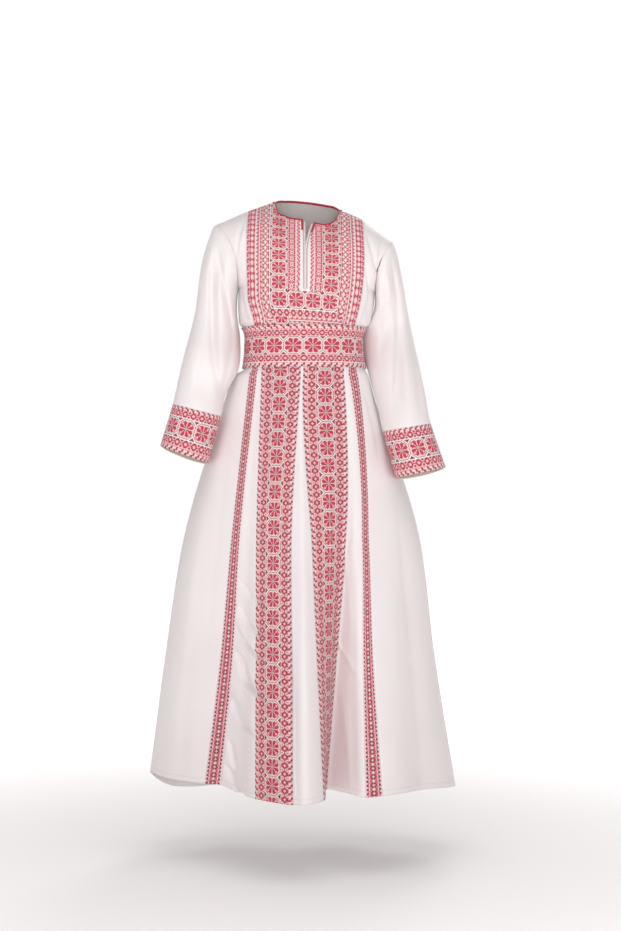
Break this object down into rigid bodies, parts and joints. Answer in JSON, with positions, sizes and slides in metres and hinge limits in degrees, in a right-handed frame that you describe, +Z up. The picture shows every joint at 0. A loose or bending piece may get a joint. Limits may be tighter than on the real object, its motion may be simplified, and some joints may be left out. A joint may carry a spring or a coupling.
{
  "type": "thobe dress",
  "caption": "Long A-line embroidered dress with chest panel, wide belt, long straight sleeves with deep cuffs and banded skirt, hollow in its worn shape.",
  "frame": {"origin": "middle of the neck opening at the height of the shoulder seams, where the dress hangs on the wearer's shoulders and neck", "axes": "+Z up, the wearer faces -Y, and the wearer's left is +X"},
  "size_m": [0.721, 0.6128, 1.4109],
  "materials": {
    "chest_panel": "cross stitch on cotton and satin",
    "bodice_side_right": "white satin crepe",
    "bodice_side_left": "white satin crepe",
    "bodice_back": "white satin crepe",
    "neck_binding": "red satin binding",
    "zip_tape_right": "woven tape",
    "zip_tape_left": "woven tape",
    "sleeve_right": "white satin crepe",
    "sleeve_left": "white satin crepe",
    "cuff_right": "cross stitch on cotton and satin",
    "cuff_left": "cross stitch on cotton and satin",
    "belt": "cross stitch on stiffened cotton",
    "skirt_side_right": "white satin crepe",
    "band_narrow_right": "cross stitch on cotton and satin",
    "gore_right": "white satin crepe",
    "band_wide_right": "cross stitch on cotton and satin",
    "skirt_centre": "white satin crepe",
    "band_wide_left": "cross stitch on cotton and satin",
    "gore_left": "white satin crepe",
    "band_narrow_left": "cross stitch on cotton and satin",
    "skirt_side_left": "white satin crepe",
    "skirt_back_left": "white satin crepe",
    "skirt_back_right": "white satin crepe"
  },
  "bodies": {
    "root": {"chest_panel": "chest_panel", "bodice_side_right": "bodice_side_right", "bodice_side_left": "bodice_side_left", "bodice_back": "bodice_back", "neck_binding": "neck_binding", "zip_tape_right": "zip_tape_right", "zip_tape_left": "zip_tape_left", "sleeve_right": "sleeve_right", "sleeve_left": "sleeve_left", "cuff_right": "cuff_right", "cuff_left": "cuff_left", "belt": "belt", "skirt_side_right": "skirt_side_right", "band_narrow_right": "band_narrow_right", "gore_right": "gore_right", "band_wide_right": "band_wide_right", "skirt_centre": "skirt_centre", "band_wide_left": "band_wide_left", "gore_left": "gore_left", "band_narrow_left": "band_narrow_left", "skirt_side_left": "skirt_side_left", "skirt_back_left": "skirt_back_left", "skirt_back_right": "skirt_back_right"}
  },
  "joints": []
}
